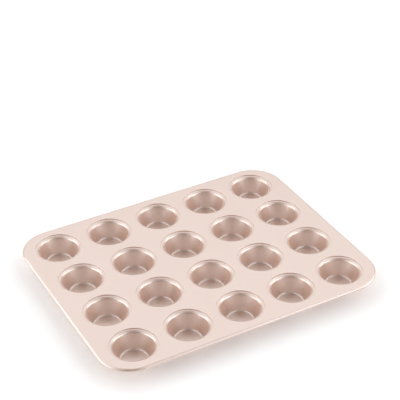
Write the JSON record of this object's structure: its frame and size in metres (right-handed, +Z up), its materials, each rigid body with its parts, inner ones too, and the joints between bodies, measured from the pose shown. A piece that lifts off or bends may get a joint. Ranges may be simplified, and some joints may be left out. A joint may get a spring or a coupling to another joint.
{
  "type": "muffin tin",
  "caption": "Mini muffin tin: drawn round cups crimped in rows into a flat deck with rounded corners and a rolled, wired edge, in champagne non-stick finish.",
  "frame": {"origin": "middle of the plane that the cups stand on", "axes": "+X along the long side, +Y to the back across the short side, +Z up out of the cups"},
  "size_m": [0.323, 0.254, 0.0206],
  "materials": {
    "champagne_coating": "satin champagne rose-gold non-stick coating on steel sheet",
    "wire_steel": "bare drawn steel wire"
  },
  "bodies": {
    "root": {"deck_frame": "champagne_coating", "rim_wire": "wire_steel", "cup_r1c1": "champagne_coating", "cup_r1c2": "champagne_coating", "cup_r1c3": "champagne_coating", "cup_r1c4": "champagne_coating", "cup_r1c5": "champagne_coating", "cup_r2c1": "champagne_coating", "cup_r2c2": "champagne_coating", "cup_r2c3": "champagne_coating", "cup_r2c4": "champagne_coating", "cup_r2c5": "champagne_coating", "cup_r3c1": "champagne_coating", "cup_r3c2": "champagne_coating", "cup_r3c3": "champagne_coating", "cup_r3c4": "champagne_coating", "cup_r3c5": "champagne_coating", "cup_r4c1": "champagne_coating", "cup_r4c2": "champagne_coating", "cup_r4c3": "champagne_coating", "cup_r4c4": "champagne_coating", "cup_r4c5": "champagne_coating"}
  },
  "joints": []
}
